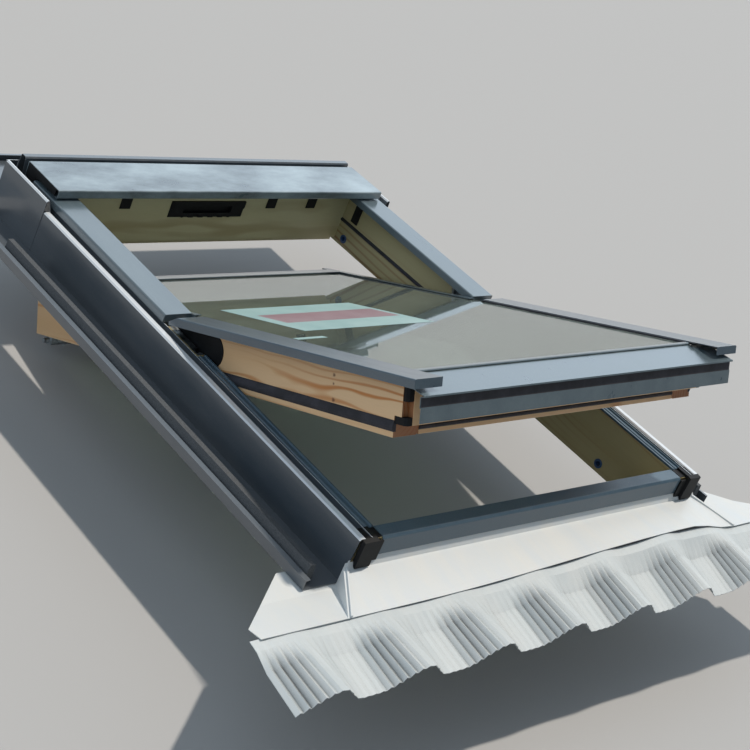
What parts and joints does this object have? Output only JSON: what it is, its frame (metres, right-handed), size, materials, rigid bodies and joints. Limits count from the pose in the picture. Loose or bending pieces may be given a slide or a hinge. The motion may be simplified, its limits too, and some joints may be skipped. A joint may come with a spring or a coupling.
{
  "type": "roof window",
  "caption": "Timber roof window with its sash pivoted open at mid-height, metal covers, a hood, side and head flashing, and a pleated apron shaped to profiled tiles.",
  "frame": {"origin": "centre of the four roof brackets, on the plane of the battens that they are screwed to", "axes": "+X along the eaves to the right as seen from outside, +Y up the roof's slope, +Z out of the roof; the roof lies flat in the row frame"},
  "size_m": [1.296, 1.386, 0.4966],
  "materials": {
    "frame_pine": "matte",
    "sash_pine": "satin",
    "coated_cover": "satin",
    "flashing_sheet": "satin",
    "apron_coating": "matte",
    "skirt_coating": "matte",
    "zinc_steel": "satin",
    "black_plastic": "matte",
    "grey_plastic": "matte",
    "blue_plastic": "matte",
    "gasket_rubber": "matte",
    "foam": "matte",
    "window_glass": "gloss",
    "spacer_metal": "satin",
    "bar_metal": "satin"
  },
  "bodies": {
    "frame": {"frame_head": "frame_pine", "frame_sill": "frame_pine", "frame_left_stile": "frame_pine", "frame_right_stile": "frame_pine", "frame_gaskets": "gasket_rubber", "sash_guide_blocks": "black_plastic", "upper_cover_left": "coated_cover", "upper_cover_right": "coated_cover", "cover_clips": "grey_plastic", "lower_profile_left": "coated_cover", "lower_profile_right": "coated_cover", "sill_cover": "coated_cover", "corner_blocks": "black_plastic", "hood": "coated_cover", "hood_ends": "black_plastic", "hood_clips": "black_plastic", "head_flashing": "flashing_sheet", "side_flashing_left": "flashing_sheet", "side_flashing_right": "flashing_sheet", "upper_flashing_left": "flashing_sheet", "upper_flashing_right": "flashing_sheet", "side_foam": "foam", "apron_sheet": "apron_coating", "apron_skirt": "skirt_coating", "mounting_brackets": "zinc_steel", "bracket_screws": "zinc_steel", "hinge_plate_left": "zinc_steel", "hinge_plate_right": "zinc_steel", "strike_plate": "black_plastic", "bolt_bushes": "blue_plastic", "seam_seal": "gasket_rubber"},
    "sash": {"bar_brackets": "bar_metal", "bolt_housings": "zinc_steel", "drip_cover": "coated_cover", "flap_lugs": "black_plastic", "glazing_beads": "gasket_rubber", "glazing_bottom_strip": "coated_cover", "glazing_tape": "gasket_rubber", "hinge_housing_left": "black_plastic", "hinge_housing_right": "black_plastic", "inner_pane": "window_glass", "lock_case": "zinc_steel", "outer_pane": "window_glass", "rail_corner_locks": "black_plastic", "sash_bottom_rail": "sash_pine", "sash_cover_clips": "grey_plastic", "sash_cover_left": "coated_cover", "sash_cover_right": "coated_cover", "sash_gaskets": "gasket_rubber", "sash_left_stile": "sash_pine", "sash_right_stile": "sash_pine", "sash_top_rail": "sash_pine", "spacer_bars": "spacer_metal", "top_trim": "coated_cover", "upper_trims": "coated_cover"},
    "control_bar": {"control_bar": "bar_metal"},
    "vent_flap": {"vent_flap": "bar_metal"},
    "latch": {"latch": "zinc_steel"},
    "bolt_left": {"barrel_bolt_left": "zinc_steel"},
    "bolt_right": {"barrel_bolt_right": "zinc_steel"}
  },
  "joints": [
    {"name": "sash_pivot", "type": "hinge", "parent": "frame", "child": "sash", "pos_m": [0, 0.054, 0.0955], "axis": [-1, 0, 0], "range_deg": [-24.3, 125.68]},
    {"name": "bar_hinge", "type": "hinge", "parent": "sash", "child": "control_bar", "pos_m": [0, 0.37518, -0.16033], "axis": [1, 0, 0], "range_deg": [0, 45]},
    {"name": "flap_hinge", "type": "hinge", "parent": "sash", "child": "vent_flap", "pos_m": [0, 0.41332, -0.07585], "axis": [1, 0, 0], "range_deg": [0, 25]},
    {"name": "latch_slide", "type": "slide", "parent": "sash", "child": "latch", "axis": [0, -0.9114, 0.4115], "range_m": [0, 0.009]},
    {"name": "bolt_left_slide", "type": "slide", "parent": "sash", "child": "bolt_left", "axis": [-1, 0, 0], "range_m": [0, 0.014]},
    {"name": "bolt_right_slide", "type": "slide", "parent": "sash", "child": "bolt_right", "axis": [1, 0, 0], "range_m": [0, 0.014]}
  ],
  "couplings": [
    {"joint": "flap_hinge", "follows": "bar_hinge", "ratio": 0.5555},
    {"joint": "latch_slide", "follows": "bar_hinge", "m_per_rad": 0.01145}
  ]
}
